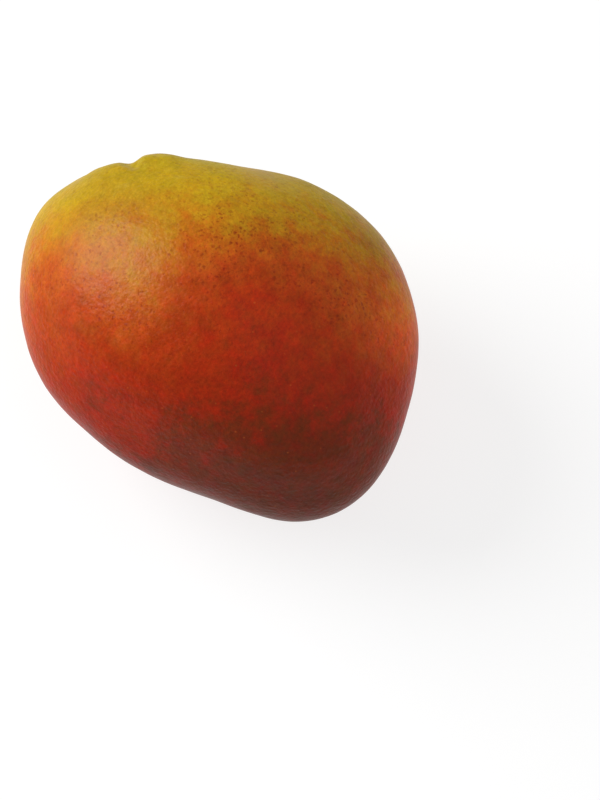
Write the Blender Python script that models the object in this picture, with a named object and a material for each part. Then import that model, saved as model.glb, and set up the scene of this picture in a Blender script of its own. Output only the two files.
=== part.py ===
# A ripe mango with its stem off, lying on one broad cheek, as one solid.
# Metres. +X runs from the stem end to the apex, +Y to the full, rounded back, +Z up.

import math

import bmesh
import bpy
from mathutils import Matrix, Vector

# The plain oval that the fruit starts from
LENGTH = 0.128
WIDTH = 0.096
THICKNESS = 0.089
WIDTH_TAPER = 0.15        # share of the half width lost from the middle to the apex
THICKNESS_TAPER = 0.08    # the same for the thickness
END_SAG = 0.006           # both ends hang this far toward the belly

# Broad swells and hollows: azimuth and elevation in degrees, spread in degrees, height.
# Azimuth 0 is the apex, 90 the back, 180 the stem end and 270 the belly.
SWELLS = {
    "back": (70, 0, 36, 0.0090),
    "back_shoulder": (128, 0, 30, -0.0085),
    "belly_shoulder": (188, 4, 18, 0.0024),
    "belly": (262, 0, 30, 0.0034),
    "hollow_before_beak": (300, -4, 16, -0.0010),
    "beak": (328, -4, 16, 0.0010),
}

# The stem pit near the stem end, the lobe that stands over it, and the dry scar in it
PIT_AT = (157, 17.5)
PIT_SPREAD = 7.0
PIT_DEPTH = 0.0044
LOBE_AT = (150, 29)
LOBE_SPREAD = 7.0
LOBE_HEIGHT = 0.0019
SCAR_SPREAD = 2.4
SCAR_HEIGHT = 0.0008

# How the fruit lies: turned until its weight is over the flat spot under the cheek
LIE_ROLL = math.radians(7.0)
LIE_PITCH = math.radians(4.9)
FLAT_DEPTH = 0.0005

# The mesh: rings are counted from the stem pit, and crowd together round it
SEGMENTS = 72
RINGS = 52
RING_CROWDING = 1.6

SKIN_COLOUR = (0.50, 0.11, 0.03, 1.0)
SKIN_ROUGHNESS = 0.42


def clear_scene():
    for old in list(bpy.data.objects):
        bpy.data.objects.remove(old, do_unlink=True)


def toward(azimuth, elevation):
    # Unit vector from the middle of the fruit
    azimuth = math.radians(azimuth)
    elevation = math.radians(elevation)
    level = math.cos(elevation)
    return Vector((level * math.cos(azimuth), level * math.sin(azimuth), math.sin(elevation)))


def falloff(direction, place, spread, steepness=2):
    # 1 at the place, dropping to 0 past its spread
    angle = math.degrees(direction.angle(toward(*place)))
    return math.exp(-((angle / spread) ** steepness))


def stem_relief(direction):
    # Height of the skin round the stem: the pit's bowl, the scar on its floor, and the lobe
    bowl = PIT_DEPTH * falloff(direction, PIT_AT, PIT_SPREAD, 3)
    scar = SCAR_HEIGHT * falloff(direction, PIT_AT, SCAR_SPREAD, 6)
    lobe = LOBE_HEIGHT * falloff(direction, LOBE_AT, LOBE_SPREAD, 3)
    return scar + lobe - bowl


def skin_point(direction):
    x, y, z = direction
    oval = Vector((
        LENGTH / 2 * x,
        WIDTH / 2 * y * (1 - WIDTH_TAPER * x) - END_SAG * x * x,
        THICKNESS / 2 * z * (1 - THICKNESS_TAPER * x),
    ))
    height = stem_relief(direction)
    for azimuth, elevation, spread, swell in SWELLS.values():
        height += swell * falloff(direction, (azimuth, elevation), spread)
    return oval + direction * height


def shape_skin(shell):
    # The round shell's upper pole becomes the stem pit
    turn = Vector((0, 0, 1)).rotation_difference(toward(*PIT_AT))
    for vert in shell.verts:
        polar = math.acos(max(-1.0, min(1.0, vert.co.z)))
        bearing = math.atan2(vert.co.y, vert.co.x)
        polar = math.pi * (polar / math.pi) ** RING_CROWDING
        ring = math.sin(polar)
        direction = Vector((ring * math.cos(bearing), ring * math.sin(bearing), math.cos(polar)))
        vert.co = skin_point(turn @ direction)


def lay_down(shell):
    lie = Matrix.Rotation(LIE_PITCH, 3, "Y") @ Matrix.Rotation(LIE_ROLL, 3, "X")
    bmesh.ops.rotate(shell, verts=shell.verts, cent=(0, 0, 0), matrix=lie)


def flatten_spot(shell):
    # The cheek's lowest skin is pressed flat where the fruit rests
    lowest = min(vert.co.z for vert in shell.verts)
    cut = bmesh.ops.bisect_plane(
        shell,
        geom=shell.verts[:] + shell.edges[:] + shell.faces[:],
        plane_co=(0, 0, lowest + FLAT_DEPTH),
        plane_no=(0, 0, -1),
        clear_outer=True,
    )
    rim = [item for item in cut["geom_cut"] if isinstance(item, bmesh.types.BMEdge)]
    bmesh.ops.edgeloop_fill(shell, edges=rim)
    bmesh.ops.recalc_face_normals(shell, faces=shell.faces)


def centre_on_base(shell):
    low = Vector([min(vert.co[axis] for vert in shell.verts) for axis in range(3)])
    high = Vector([max(vert.co[axis] for vert in shell.verts) for axis in range(3)])
    middle = (low + high) / 2
    bmesh.ops.translate(shell, verts=shell.verts, vec=(-middle.x, -middle.y, -low.z))


def skin_material():
    skin = bpy.data.materials.new("mango_skin")
    skin.use_nodes = True
    shader = skin.node_tree.nodes["Principled BSDF"]
    shader.inputs["Base Color"].default_value = SKIN_COLOUR
    shader.inputs["Roughness"].default_value = SKIN_ROUGHNESS
    shader.inputs["Metallic"].default_value = 0.0
    return skin


def make_mango():
    shell = bmesh.new()
    bmesh.ops.create_uvsphere(shell, u_segments=SEGMENTS, v_segments=RINGS, radius=1.0)
    shape_skin(shell)
    lay_down(shell)
    flatten_spot(shell)
    centre_on_base(shell)
    mesh = bpy.data.meshes.new("mango")
    shell.to_mesh(mesh)
    shell.free()
    mesh.shade_smooth()
    mesh.materials.append(skin_material())
    return bpy.data.objects.new("mango", mesh)


clear_scene()
fruit = bpy.data.collections.new("Mango")
bpy.context.scene.collection.children.link(fruit)
fruit.objects.link(make_mango())
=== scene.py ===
# A ripe mango lying on one cheek: its skin, colours and light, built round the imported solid.

import math

import bpy
from mathutils import Matrix, Vector


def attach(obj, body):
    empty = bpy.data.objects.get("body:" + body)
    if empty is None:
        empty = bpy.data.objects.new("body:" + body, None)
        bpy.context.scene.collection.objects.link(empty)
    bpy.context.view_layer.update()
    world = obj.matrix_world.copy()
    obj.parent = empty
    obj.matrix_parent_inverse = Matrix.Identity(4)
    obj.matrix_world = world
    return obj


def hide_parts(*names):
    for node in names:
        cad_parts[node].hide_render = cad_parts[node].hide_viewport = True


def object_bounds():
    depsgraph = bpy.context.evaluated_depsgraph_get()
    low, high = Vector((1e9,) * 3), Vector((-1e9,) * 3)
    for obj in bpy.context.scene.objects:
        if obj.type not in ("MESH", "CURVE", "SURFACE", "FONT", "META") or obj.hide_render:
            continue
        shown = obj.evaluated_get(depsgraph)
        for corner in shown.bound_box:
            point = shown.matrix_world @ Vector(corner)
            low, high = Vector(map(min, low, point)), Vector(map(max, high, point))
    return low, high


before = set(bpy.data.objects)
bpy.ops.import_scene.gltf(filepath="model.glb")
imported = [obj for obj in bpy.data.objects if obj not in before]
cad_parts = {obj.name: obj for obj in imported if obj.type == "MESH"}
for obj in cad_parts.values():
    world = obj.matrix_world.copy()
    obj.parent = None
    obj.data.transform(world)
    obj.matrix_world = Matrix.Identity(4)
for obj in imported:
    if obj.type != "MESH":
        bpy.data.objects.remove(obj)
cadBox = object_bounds()
print("frame loaded:", list(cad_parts))

mm = 0.001
middle = (cadBox[0] + cadBox[1]) / 2


def paint(red, green, blue):
    # A colour given as on a screen, 0 to 255, as Blender's linear light
    def linear(level):
        level = level / 255
        return level / 12.92 if level <= 0.04045 else ((level + 0.055) / 1.055) ** 2.4
    return (linear(red), linear(green), linear(blue), 1.0)


class Wire:
    # One output socket of a material, so that shader maths reads as plain sums
    def __init__(self, board, socket):
        self.board = board
        self.socket = socket

    def math(self, operation, *values):
        return self.board.node("ShaderNodeMath", {"operation": operation}, dict(enumerate(values)))

    def twin(self, output):
        # Another output of the same node
        return Wire(self.board, self.socket.node.outputs[output])

    def finish(self):
        # This is what the material shows
        self.board.tree.links.new(self.socket, self.board.tree.nodes["Material Output"].inputs["Surface"])

    def __add__(self, other):
        return self.math("ADD", self, other)

    def __radd__(self, other):
        return self.math("ADD", other, self)

    def __sub__(self, other):
        return self.math("SUBTRACT", self, other)

    def __rsub__(self, other):
        return self.math("SUBTRACT", other, self)

    def __mul__(self, other):
        return self.math("MULTIPLY", self, other)

    def __rmul__(self, other):
        return self.math("MULTIPLY", other, self)

    def __truediv__(self, other):
        return self.math("DIVIDE", self, other)

    def __rtruediv__(self, other):
        return self.math("DIVIDE", other, self)


class Board:
    # A material's node tree, filled by expressions
    def __init__(self, name):
        self.material = bpy.data.materials.new(name)
        self.material.use_nodes = True
        self.tree = self.material.node_tree
        self.shader = self.tree.nodes["Principled BSDF"]

    def plug(self, value, socket):
        if isinstance(value, Wire):
            self.tree.links.new(value.socket, socket)
        else:
            socket.default_value = value

    def node(self, kind, settings=None, values=None, out=0):
        made = self.tree.nodes.new(kind)
        for name, setting in (settings or {}).items():
            if name == "stops":
                self.rampStops(made.color_ramp, setting)
            else:
                setattr(made, name, setting)
        for name, value in (values or {}).items():
            self.plug(value, made.inputs[name])
        return Wire(self, made.outputs[out])

    def rampStops(self, ramp, stops):
        while len(ramp.elements) < len(stops):
            ramp.elements.new(1.0)
        for element, (place, colour) in zip(ramp.elements, stops):
            element.position = place
            element.color = colour

    def step(self, value, low, high):
        # 0 below low, 1 above high, with a soft change between
        settings = {"interpolation_type": "SMOOTHSTEP"}
        values = {"Value": value, "From Min": low, "From Max": high}
        return self.node("ShaderNodeMapRange", settings, values)

    def mix(self, share, first, second):
        # The share of the second colour over the first
        settings = {"data_type": "RGBA", "blend_type": "MIX"}
        return self.node("ShaderNodeMix", settings, {0: share, 6: first, 7: second}, 2)

    def vector(self, operation, *values, out=0):
        return self.node("ShaderNodeVectorMath", {"operation": operation}, dict(enumerate(values)), out)

    def scale(self, vector, factor):
        return self.node("ShaderNodeVectorMath", {"operation": "SCALE"}, {0: vector, "Scale": factor})

    def distance(self, first, second):
        return self.vector("DISTANCE", first, second, out="Value")

    def noise(self, place, size, detail, rough, shift):
        # Soft blotches about size across, from about -0.5 to 0.5
        moved = self.vector("ADD", place, (shift, shift * 0.7, shift * 1.3))
        values = {"Vector": moved, "Scale": 1 / size, "Detail": detail, "Roughness": rough}
        return self.node("ShaderNodeTexNoise", values=values) - 0.5

    def near(self, distance, reach):
        # 1 at distance 0, falling softly to nothing past the reach
        share = distance / reach
        fall = share * share * -1
        return fall.math("EXPONENT", fall)

    def ramp(self, value, bands):
        # The colours of the bands, each at its place along the value
        low = bands[0][0]
        span = bands[-1][0] - low
        stops = [((place - low) / span, colour) for place, colour in bands]
        return self.node("ShaderNodeValToRGB", {"stops": stops}, {0: (value - low) / span})


skinForm = {
    "weld": 0.00001,          # metres, joins the loose triangles
    "fineness": 2,            # subdivision levels
    "swellSize": 0.030,       # metres across the broad unevenness
    "swellHeight": 0.0008,
    "dimpleSize": 0.009,      # metres across the small unevenness
    "dimpleHeight": 0.00022,
    "restsBelow": 0.00006,    # metres, skin lower than this lies flat on the floor
    # Small pushes as by thumb, in millimetres: place, way, reach and how far
    "pushes": {
        "stemShoulder": ((-61.8, -3.5, 57.7), (-0.92, 0.18, 0.35), 16, -0.31),
        "nearLip": ((-51.5, 3.6, 70.0), (-0.60, 0.55, 0.58), 14, 1.70),
        "lipStart": ((-55.5, 2.0, 66.5), (-0.67, 0.68, 0.31), 8, 0.28),
        "lipDip": ((-53.3, 3.9, 68.0), (-0.67, 0.68, 0.31), 7, -0.15),
        "lipRise": ((-51.1, 5.4, 70.4), (-0.67, 0.68, 0.31), 6, 0.23),
        "lipEnd": ((-49.6, 7.3, 71.2), (-0.67, 0.68, 0.31), 4, -0.11),
        "notch": ((-48.2, 9.6, 72.1), (-0.50, 0.80, 0.33), 4.5, -1.21),
        "crease": ((-46.6, 9.0, 74.4), (0.62, -0.45, -0.64), 3.4, 0.80),
        "lobeFlank": ((-47.8, 12.9, 72.4), (-0.85, 0.35, 0.39), 4, 0.10),
        "lobeCheek": ((-45.0, 12.4, 75.2), (-0.55, 0.25, 0.80), 4.5, 0.55),
        "lobeEdge": ((-46.8, 15.3, 72.2), (-0.67, 0.68, 0.31), 5, 0.24),
        "lobeTop": ((-44.1, 18.8, 71.5), (-0.61, 0.69, 0.38), 10, -0.13),
        "behindLobe": ((-33.7, 27.7, 68.3), (-0.53, 0.76, 0.38), 18, -0.15),
        "backDip": ((-21.3, 36.6, 66.6), (-0.47, 0.80, 0.37), 12, -0.10),
        "backRise": ((-12.7, 43.0, 62.5), (-0.39, 0.84, 0.37), 20, 0.68),
        "backTurn": ((7.1, 51.3, 54.5), (-0.02, 0.95, 0.31), 22, -0.30),
        "bellyEnd": ((-57.9, -28.8, 49.7), (-0.79, -0.60, 0.14), 22, -0.36),
        "bellyFull": ((-28.7, -49.4, 40.6), (-0.30, -0.95, -0.08), 22, 0.73),
        "bellyHollow": ((-4.1, -51.6, 36.6), (0.07, -0.98, -0.18), 20, -0.40),
        "backLow": ((14.6, 51.3, 53.4), (0.14, 0.95, 0.27), 18, -0.14),
        "apexTurn": ((27.0, 48.1, 50.3), (0.42, 0.89, 0.16), 18, -0.08),
        "apexSide": ((43.3, 37.6, 46.5), (0.69, 0.71, 0.10), 18, 0.19),
    },
}


def applyAll(piece):
    bpy.context.view_layer.objects.active = piece
    for modifier in list(piece.modifiers):
        bpy.ops.object.modifier_apply(modifier=modifier.name)


def addUnevenness(piece, name, size, height):
    cloud = bpy.data.textures.new(name, "CLOUDS")
    cloud.noise_scale = size
    cloud.noise_depth = 1
    relief = piece.modifiers.new(name, "DISPLACE")
    relief.texture = cloud
    relief.texture_coords = "LOCAL"
    relief.strength = height
    relief.mid_level = 0.5    # raises and lowers by half the height


def pushSkin(skin, place, way, reach, distance):
    # The nearest point moves the whole distance, and its neighbours less and less out to the reach
    place = Vector(place) * mm
    nearest = min(skin.data.vertices, key=lambda vert: (vert.co - place).length_squared).index
    bpy.ops.object.mode_set(mode="EDIT")
    bpy.ops.mesh.select_mode(type="VERT")
    bpy.ops.mesh.select_all(action="DESELECT")
    bpy.ops.object.mode_set(mode="OBJECT")
    skin.data.vertices[nearest].select = True
    bpy.ops.object.mode_set(mode="EDIT")
    bpy.ops.transform.translate(
        value=Vector(way).normalized() * distance * mm,
        use_proportional_edit=True,
        proportional_edit_falloff="SMOOTH",
        proportional_size=reach * mm,
    )
    bpy.ops.object.mode_set(mode="OBJECT")


def restSkin(skin, height):
    # The lowest skin is pressed level with the floor
    bpy.ops.object.mode_set(mode="EDIT")
    bpy.ops.mesh.select_all(action="DESELECT")
    bpy.ops.object.mode_set(mode="OBJECT")
    for vert in skin.data.vertices:
        vert.select = vert.co.z < height
    bpy.ops.object.mode_set(mode="EDIT")
    bpy.ops.transform.resize(value=(1, 1, 0), center_override=(0, 0, 0))
    bpy.ops.object.mode_set(mode="OBJECT")


def makeSkin(form):
    bpy.ops.object.select_all(action="DESELECT")
    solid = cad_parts["mango"]
    solid.select_set(True)
    bpy.context.view_layer.objects.active = solid
    bpy.ops.object.duplicate()
    skin = bpy.context.object
    skin.name = "mangoSkin"
    skin.parent = None
    for tag in [key for key in skin.keys() if key.startswith("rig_")]:
        del skin[tag]
    bpy.ops.object.mode_set(mode="EDIT")
    bpy.ops.mesh.select_all(action="SELECT")
    bpy.ops.mesh.remove_doubles(threshold=form["weld"])
    bpy.ops.mesh.tris_convert_to_quads()
    bpy.ops.object.mode_set(mode="OBJECT")
    smoother = skin.modifiers.new("smoother", "SUBSURF")
    smoother.levels = form["fineness"]
    smoother.render_levels = form["fineness"]
    addUnevenness(skin, "swells", form["swellSize"], form["swellHeight"])
    addUnevenness(skin, "dimples", form["dimpleSize"], form["dimpleHeight"])
    applyAll(skin)
    for place, way, reach, distance in form["pushes"].values():
        pushSkin(skin, place, way, reach, distance)
    print("skin pushed into shape at", len(form["pushes"]), "places")
    restSkin(skin, form["restsBelow"])
    bpy.ops.object.shade_smooth()
    return skin


# All lengths below are in millimetres, and places are counted from the fruit's middle. The colours
# change along goldWay, and the lead of a spot is how far along that way its colour is taken from.
blush = {
    "goldWay": (-0.72, 0.69, 0.0),    # from the red belly and apex to the gold back and stem end
    "streakWay": (0.83, 0.55, 0.0),   # streaks run this way, round the back from stem to apex
    "streakLong": 0.86,       # share of the distance along the streaks that they don't feel
    # The colours met along goldWay, each with its place there
    "bands": (
        (-60, paint(100, 40, 20)),
        (-42, paint(121, 41, 14)),
        (-30, paint(154, 38, 7)),
        (-18, paint(164, 47, 4)),
        (-9, paint(171, 60, 6)),
        (-1, paint(180, 71, 13)),
        (6, paint(184, 87, 14)),
        (13, paint(186, 108, 15)),
        (20, paint(183, 128, 16)),
        (29, paint(184, 145, 15)),
        (44, paint(178, 151, 20)),
        (70, paint(140, 138, 40)),
    ),
    # Places that run ahead of that change or lag behind it, with painted light and shade that
    # lightens or darkens them against the rest: place, reach, lead, and share of painted light
    "patches": {
        "amberShoulder": ((-19, -16, 42), 12, 9, 0.0),
        "redCheek": ((10, 0, 43), 17, -12, 0.0),
        "rustyCheek": ((34, 19, 31), 11, 9, 0.0),
        "redFlank": ((-39, -38, 18), 11, -3, 0.0),
        "deepFlank": ((-8, -45, 22), 10, -8, 0.19),
        "lowCheek": ((2, -33, 36), 16, 4, -0.05),
        "amberCheek": ((-12, -27, 37), 10, 9, 0.04),
        # Painted light along the edge at the apex
        "apexTintAndPaintedLight": ((42, 33, 16), 14, 9, 0.46),
        # Painted shade on the back's shoulder
        "backTintAndPaintedShade": ((18, 41, 23), 11, 3, -0.14),
        # Painted shade at the stem end
        "stemPaintedShade": ((-47, 0, 26), 13, 0, -0.15),
        "scarletCheek": ((17, -1, 41), 12, -4, 0.12),
        "duskyBand": ((2, 16, 41), 13, 0, -0.10),
        # Painted shade over the top of the sheen
        "sheenTintAndPaintedShade": ((-36, -8, 37), 11, -4, -0.08),
        # Painted shade low on the belly
        "bellyTintAndPaintedShade": ((6, -46, 15), 10, 12, -0.12),
        "stemFlank": ((-51, -26, 22), 9, -9, 0.0),
        "scarletSpot": ((12, -6, 42), 8, 0, 0.13),
    },
    "patchEdge": 1.2,         # how ragged the patches are, as a share of their reach
    # Noises: width, detail, roughness, and a shift that sets each apart from the rest
    "noises": {
        "blotch": (16, 2, 0.5, 3.0),
        "mottle": (7, 5, 0.72, 11.0),
        "shade": (5, 5, 0.85, 23.0),
        "grain": (1.0, 2, 0.7, 41.0),
        "flush": (4, 2, 0.6, 61.0),
    },
    "streakNoises": {
        "streak": (2.4, 3, 0.6, 31.0),
        "band": (6, 2, 0.5, 37.0),
    },
    # How far each noise moves the colours, and how much it lightens and darkens them
    "moves": {"mottle": 43, "blotch": 8, "streak": 8, "grain": 2, "flush": 14},
    "lights": {"shade": 0.74, "grain": 0.45, "streak": 0.18, "band": 0.18},
    # Under the sheen the mottling is weaker, a painted stand-in for the glare washing the blotches out
    "calm": ((-40, -14, 33), 20, 0.45),    # where the mottling is weaker: place, reach and share
    "backFrom": (4, 26),      # streaks come in from here to here toward the back
    "flushTo": (-4, 14),      # leads between which the flushes in the red fade out
    "hueDrift": (0.45, -1.0, 0.0),    # what a flush adds to red and takes from green
}

skinMarks = {
    # Fine cells with pale lines between them, as in leather
    "cellSize": 1.7,
    "cellBend": (1.25, 1.6),    # width and height of the waves that bend the cells
    "cellLine": (0.02, 0.16),    # where a line ends, as a share of a cell
    "cellLight": 0.05,
    # Streaks of greyish bloom on the back, partly painted reflection, and one paler place of painted
    # reflection
    "bloomAndReflectionColour": paint(170, 150, 70),
    "bloomAndReflectionStreaks": (0.04, 0.22),
    "bloomAndReflectionFrom": (20, 40),    # leads
    "bloomAndReflectionShare": 0.35,
    # The paler place is a painted reflection along the top of the back
    "paintedReflectionPatch": ((-18, 33, 28), 8, 0.35),    # place, reach and share
    "paintedReflectionColour": paint(186, 150, 100),
    # Pores and dots: distance between them, smallest and largest radius, how strong, and a shift
    "pores": (1.45, 0.14, 0.52, 0.63, 5.0),
    "finePores": (0.85, 0.08, 0.28, 0.47, 9.0),
    "paleDots": (2.8, 0.04, 0.26, 0.25, 17.0),
    "poreEdge": (-0.20, 0.16),    # the soft edge of each
    "faintBelow": 0.7,        # this share of them is more or less faint
    "poreTint": (0.54, 0.27, 0.40),
    "paleColour": paint(206, 112, 44),
    "paleTo": (-8, 6),        # leads between which the pale dots fade out
    # Pores crowd in the clouds of a noise, at these places and reaches, and round one lead
    "crowdNoise": (13, 2, 0.5, 51.0),
    "crowdCloud": (-0.12, 0.12),
    "crowdLeast": 0.3,        # the share of pores outside all crowds
    "crowdMore": 0.45,        # what each crowd adds
    "crowdEdge": 1.6,         # how ragged the crowds are, as a share of their reach
    "crowds": {
        "goldEdge": ((-5, 14, 42), 13),
        "bellyCheek": ((-22, -25, 38), 9),
        "rustyCheek": ((27, 20, 33), 9),
        "stemSide": ((-20, 18, 40), 9),
        "topCheek": ((-5, 1, 44), 12),
    },
    "poreBelt": (8, 22, 0.4),    # lead, reach, and the share that is left away from it
    # The dry scar where the stem was
    "pit": (-49.2, 11.2, 62.5),    # this place is counted from where the fruit rests, not its middle
    "scarRadius": 2.4,
    "scarColour": paint(98, 74, 46),
    "scarRim": paint(66, 50, 24),
    "scarSoft": 0.4,          # width of its soft edge
    "scarRagged": 2.5,        # how far the noise moves that edge
    "scarMottle": 1.2,        # how much the noise lightens and darkens it
    "rimWidth": 0.7,
    "rimShare": 0.7,
    # Relief, each in width, detail, roughness and shift, with its height
    "ripple": (3.2, 3, 0.6, 71.0),
    "rippleHeight": 0.18,
    "pebble": (1.4, 2, 0.5, 83.0),
    "pebbleHeight": 0.23,
    "shadeHeight": 0.07,
    "poreDepth": 0.04,
    "scarHeight": 0.5,
    # Roughness on the red side, and what is added to it
    "roughness": 0.36,
    "mottleRough": 0.20,
    "goldRough": (10, 40, 0.10),    # from lead to lead, how much
    "scarRough": 0.3,
    # Specular level face on, and toward the edges, and where one passes into the other
    "gloss": 0.165,
    "edgeGloss": 0.050,
    "turning": (0.22, 0.50),
}


def makeNoises(board, point, look):
    # Mottling, from blotches a centimetre wide to grain under a millimetre
    noise = {name: board.noise(point, *plan) for name, plan in look["noises"].items()}
    # The same with distances along the streaks shortened
    ahead = board.vector("DOT_PRODUCT", point, look["streakWay"], out="Value")
    along = board.vector("SUBTRACT", point, board.scale(look["streakWay"], ahead * look["streakLong"]))
    for name, plan in look["streakNoises"].items():
        noise[name] = board.noise(along, *plan)
    return noise


def spots(board, place, plan, marks):
    # Round spots of changing size, one in each cell of a jumbled net: their strength on a spot, 0 off it
    spacing, smallest, largest, strength, shift = plan
    moved = board.vector("ADD", place, (shift, shift, shift))
    net = {"Vector": moved, "Scale": 1 / spacing}
    cells = board.node("ShaderNodeTexVoronoi", values=net, out="Distance")
    chance = board.node("ShaderNodeSeparateColor", values={"Color": cells.twin("Color")}, out="Red")
    radius = chance * (largest - smallest) + smallest
    spot = board.step(radius - cells * spacing, *marks["poreEdge"])
    return spot * board.step(chance, 0.0, marks["faintBelow"]) * strength


def findLead(board, fromMiddle, noise, look):
    # How far each spot lies toward the gold side, and how light it is, with painted light and shade
    moves = look["moves"]
    lights = look["lights"]
    lead = board.vector("DOT_PRODUCT", fromMiddle, look["goldWay"], out="Value")
    toneAndPaintedLight = noise["grain"] * lights["grain"]
    # Each patch adds its lead, and its share of painted light and shade
    for place, reach, change, paintedLight in look["patches"].values():
        ragged = noise["blotch"] * (reach * look["patchEdge"])
        patch = board.near(board.distance(fromMiddle, place) + ragged, reach)
        lead = lead + patch * change
        toneAndPaintedLight = toneAndPaintedLight + patch * paintedLight
    width = board.node("ShaderNodeSeparateXYZ", values={0: fromMiddle}, out="Y")
    back = board.step(width, *look["backFrom"])
    # Weaker mottling under the sheen, painted for the glare that washes it out
    place, reach, share = look["calm"]
    calm = 1 - board.near(board.distance(fromMiddle, place), reach) * share
    noise["flush"] = noise["flush"] * calm * (1 - board.step(lead, *look["flushTo"]))
    lead = lead + noise["mottle"] * calm * moves["mottle"] + noise["blotch"] * moves["blotch"]
    lead = lead + noise["streak"] * back * moves["streak"] + noise["grain"] * moves["grain"]
    lead = lead + noise["flush"] * moves["flush"]
    toneAndPaintedLight = toneAndPaintedLight + noise["shade"] * lights["shade"]
    toneAndPaintedLight = toneAndPaintedLight + (noise["streak"] * lights["streak"] + noise["band"] * lights["band"]) * back
    return lead, toneAndPaintedLight


def addBloomAndPaintedReflection(board, skin, fromMiddle, noise, lead, marks):
    # A greyish bloom in long streaks over the back, partly painted reflection, and a paler place of
    # painted reflection
    band = noise["band"]
    bloomAndReflection = board.step(band + noise["streak"] * 0.5, *marks["bloomAndReflectionStreaks"])
    bloomAndReflection = bloomAndReflection * board.step(lead, *marks["bloomAndReflectionFrom"]) * marks["bloomAndReflectionShare"]
    skin = board.mix(bloomAndReflection, skin, marks["bloomAndReflectionColour"])
    # The paler place is a painted reflection along the top of the back
    place, reach, share = marks["paintedReflectionPatch"]
    pale = board.near(board.distance(fromMiddle, place) + band * reach, reach) * share
    return board.mix(pale, skin, marks["paintedReflectionColour"])


def findPores(board, cellPlace, point, fromMiddle, noise, lead, marks):
    # How dark the pores are: they crowd in patches, most where gold turns red
    more = marks["crowdMore"]
    cloud = board.step(board.noise(point, *marks["crowdNoise"]), *marks["crowdCloud"])
    crowd = cloud * more + marks["crowdLeast"]
    for place, reach in marks["crowds"].values():
        ragged = noise["blotch"] * (reach * marks["crowdEdge"])
        crowd = crowd + board.near(board.distance(fromMiddle, place) + ragged, reach) * more
    beltLead, beltReach, least = marks["poreBelt"]
    belt = board.near(lead - beltLead, beltReach) * (1 - least) + least
    large = spots(board, cellPlace, marks["pores"], marks)
    fine = spots(board, cellPlace, marks["finePores"], marks)
    return (large + fine) * crowd * belt


def makeSkinMaterial(look, marks):
    board = Board("ripeSkin")
    point = board.scale(board.node("ShaderNodeTexCoord", out="Object"), 1 / mm)
    fromMiddle = board.vector("SUBTRACT", point, tuple(middle / mm))
    noise = makeNoises(board, point, look)
    lead, toneAndPaintedLight = findLead(board, fromMiddle, noise, look)
    shade = noise["shade"]

    # Small cells with fine pale lines between them
    bendSize, bendHeight = marks["cellBend"]
    wave = board.node("ShaderNodeTexNoise", values={"Vector": point, "Scale": 1 / bendSize}, out="Color")
    cellPlace = board.vector("ADD", point, board.scale(wave, bendHeight))
    cells = {"Vector": cellPlace, "Scale": 1 / marks["cellSize"]}
    edge = board.node("ShaderNodeTexVoronoi", {"feature": "DISTANCE_TO_EDGE"}, cells, "Distance")
    net = 1 - board.step(edge, *marks["cellLine"])
    toneAndPaintedLight = toneAndPaintedLight + net * marks["cellLight"]

    # Colour, with its tone and the painted light and shade, and small drifts between red and green
    skin = board.scale(board.ramp(lead, look["bands"]), toneAndPaintedLight + 1)
    drift = board.vector("MULTIPLY_ADD", noise["flush"], look["hueDrift"], (1, 1, 1))
    skin = board.vector("MULTIPLY", skin, drift)
    skin = addBloomAndPaintedReflection(board, skin, fromMiddle, noise, lead, marks)

    # Dark pores, and small pale dots in the red
    dark = findPores(board, cellPlace, point, fromMiddle, noise, lead, marks)
    skin = board.mix(dark, skin, board.vector("MULTIPLY", skin, marks["poreTint"]))
    dots = spots(board, point, marks["paleDots"], marks) * (1 - board.step(lead, *marks["paleTo"]))
    skin = board.mix(dots, skin, marks["paleColour"])

    # The dry scar
    fromPit = board.distance(point, marks["pit"]) + shade * marks["scarRagged"]
    scarRadius = marks["scarRadius"]
    rim = board.near(fromPit - scarRadius, marks["rimWidth"])
    scar = 1 - board.step(fromPit, scarRadius - marks["scarSoft"], scarRadius)
    skin = board.mix(rim * marks["rimShare"], skin, marks["scarRim"])
    skin = board.mix(scar, skin, board.scale(marks["scarColour"][:3], 1 + shade * marks["scarMottle"]))

    # Relief and roughness
    ripple = board.noise(point, *marks["ripple"]) * marks["rippleHeight"]
    pebble = board.noise(point, *marks["pebble"]) * marks["pebbleHeight"]
    relief = ripple + pebble + shade * marks["shadeHeight"]
    relief = relief - dark * marks["poreDepth"] + scar * shade * marks["scarHeight"]
    bump = board.node("ShaderNodeBump", values={"Strength": 1.0, "Distance": mm, "Height": relief})
    goldFrom, goldTo, goldMore = marks["goldRough"]
    rough = marks["roughness"] + noise["mottle"] * marks["mottleRough"]
    rough = rough + board.step(lead, goldFrom, goldTo) * goldMore + scar * marks["scarRough"]

    # A waxy sheen where the skin faces the eye, and a fainter one where it turns away
    edgeShader = board.node("ShaderNodeBsdfPrincipled").socket.node
    for shader, gloss in ((board.shader, marks["gloss"]), (edgeShader, marks["edgeGloss"])):
        board.plug(skin, shader.inputs["Base Color"])
        board.plug(rough, shader.inputs["Roughness"])
        board.plug(bump, shader.inputs["Normal"])
        shader.inputs["Specular IOR Level"].default_value = gloss
    turned = board.node("ShaderNodeLayerWeight", values={"Blend": 0.5}, out="Facing")
    board.node("ShaderNodeMixShader", values={
        0: board.step(turned, *marks["turning"]),
        1: Wire(board, board.shader.outputs[0]),
        2: Wire(board, edgeShader.outputs[0]),
    }).finish()
    print("skin material:", len(board.tree.nodes), "nodes")
    return board.material


def dressSkin():
    skin = makeSkin(skinForm)
    skin.data.materials.clear()
    skin.data.materials.append(makeSkinMaterial(blush, skinMarks))
    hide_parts("mango")
    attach(skin, "root")
    print("skin:", len(skin.data.polygons), "faces")


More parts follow.
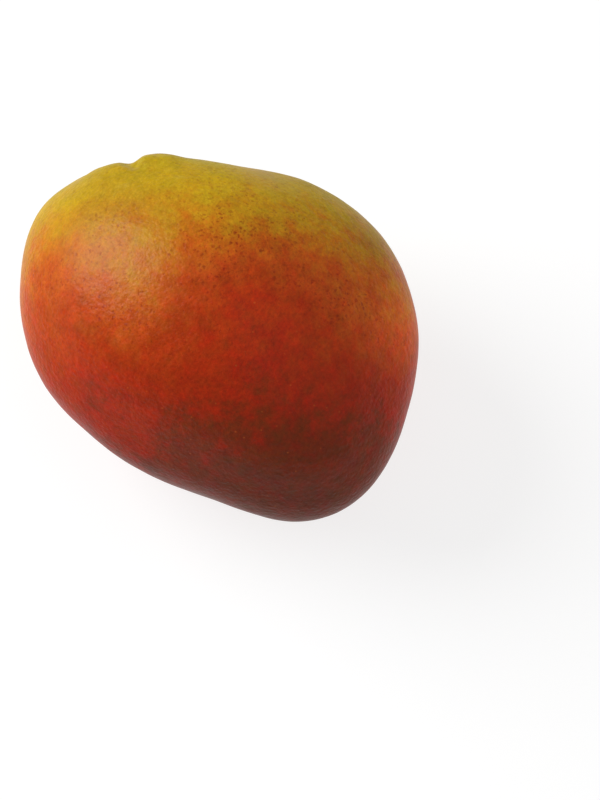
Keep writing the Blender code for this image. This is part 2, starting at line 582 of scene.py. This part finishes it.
studio = {
    "floorSize": 4.0,
    "floorColour": (0.30, 0.30, 0.30, 1.0),
    "floorRoughness": 0.9,
    "floorGloss": 0.1,
    "glowColour": (1.0, 1.0, 1.0, 1.0),
    "floorGlow": 0.74,
    "worldColour": (1.0, 1.0, 1.0, 1.0),
    "worldStrength": 0.27,
}

lamps = {
    # Where each lamp stands from the fruit and how wide it is, in metres, its power in watts,
    # and whether the skin mirrors it
    "keyLamp": ((-0.87, -0.38, 0.67), 0.94, 14.4, True),
    "fillLamp": ((0.60, 0.38, 0.80), 2.0, 4.8, False),
}


def makeFloor(look):
    bpy.ops.object.select_all(action="DESELECT")
    bpy.ops.mesh.primitive_plane_add(size=look["floorSize"], location=(0, 0, 0))
    floor = bpy.context.object
    floor.name = "floor"
    board = Board("paleFloor")
    board.shader.inputs["Base Color"].default_value = look["floorColour"]
    board.shader.inputs["Roughness"].default_value = look["floorRoughness"]
    board.shader.inputs["Specular IOR Level"].default_value = look["floorGloss"]
    board.shader.inputs["Emission Color"].default_value = look["glowColour"]
    board.shader.inputs["Emission Strength"].default_value = look["floorGlow"]
    floor.data.materials.append(board.material)


def makeLamps(plan):
    for name, (place, size, power, mirrored) in plan.items():
        bpy.ops.object.light_add(type="AREA", location=middle + Vector(place))
        lamp = bpy.context.object
        lamp.name = name
        lamp.data.shape = "DISK"
        lamp.data.size = size
        lamp.data.energy = power
        lamp.visible_glossy = mirrored
        lamp.rotation_euler = (-Vector(place)).to_track_quat("-Z", "Y").to_euler()


def makeWorld(look):
    world = bpy.data.worlds.new("paleRoom")
    world.use_nodes = True
    background = world.node_tree.nodes["Background"]
    background.inputs["Color"].default_value = look["worldColour"]
    background.inputs["Strength"].default_value = look["worldStrength"]
    bpy.context.scene.world = world
    bpy.context.scene.view_settings.view_transform = "Standard"


view = {
    "target": (0.0008, -0.0008, 0.0439),    # metres, a point near the fruit's middle
    "azimuth": 44.63,         # degrees, 0 looks along +Y
    "elevation": 71.5,
    "distance": 0.7214,       # metres from the target
    "lens": 108.0,
    "sensor": 36.0,
    "longSide": 800,          # pixels of the photograph's frame
    "frameMiddle": (300, 400),
    "targetAt": (226.8, 329.5),    # pixel where the target shows
}


def makeCamera(look):
    azimuth = math.radians(look["azimuth"])
    elevation = math.radians(look["elevation"])
    right = Vector((math.cos(azimuth), math.sin(azimuth), 0))
    back = Vector((
        math.sin(azimuth) * math.cos(elevation),
        -math.cos(azimuth) * math.cos(elevation),
        math.sin(elevation),
    ))
    up = back.cross(right)
    facing = Matrix((right, up, back)).transposed()
    # The camera swings a little, so that the fruit stands off the frame's middle as in the photo
    pixels = look["lens"] / look["sensor"] * look["longSide"]
    aside = (look["targetAt"][0] - look["frameMiddle"][0]) / pixels
    above = (look["frameMiddle"][1] - look["targetAt"][1]) / pixels
    swing = Vector((aside, above, -1)).rotation_difference(Vector((0, 0, -1)))
    bpy.ops.object.camera_add(location=(0, 0, 0))
    camera = bpy.context.object
    camera.data.lens = look["lens"]
    camera.data.sensor_width = look["sensor"]
    turned = (facing @ swing.to_matrix()).to_4x4()
    camera.matrix_world = Matrix.Translation(Vector(look["target"]) + back * look["distance"]) @ turned
    bpy.context.scene.camera = camera


makeCamera(view)
makeWorld(studio)
makeFloor(studio)
makeLamps(lamps)
print("camera and light ready")
dressSkin()
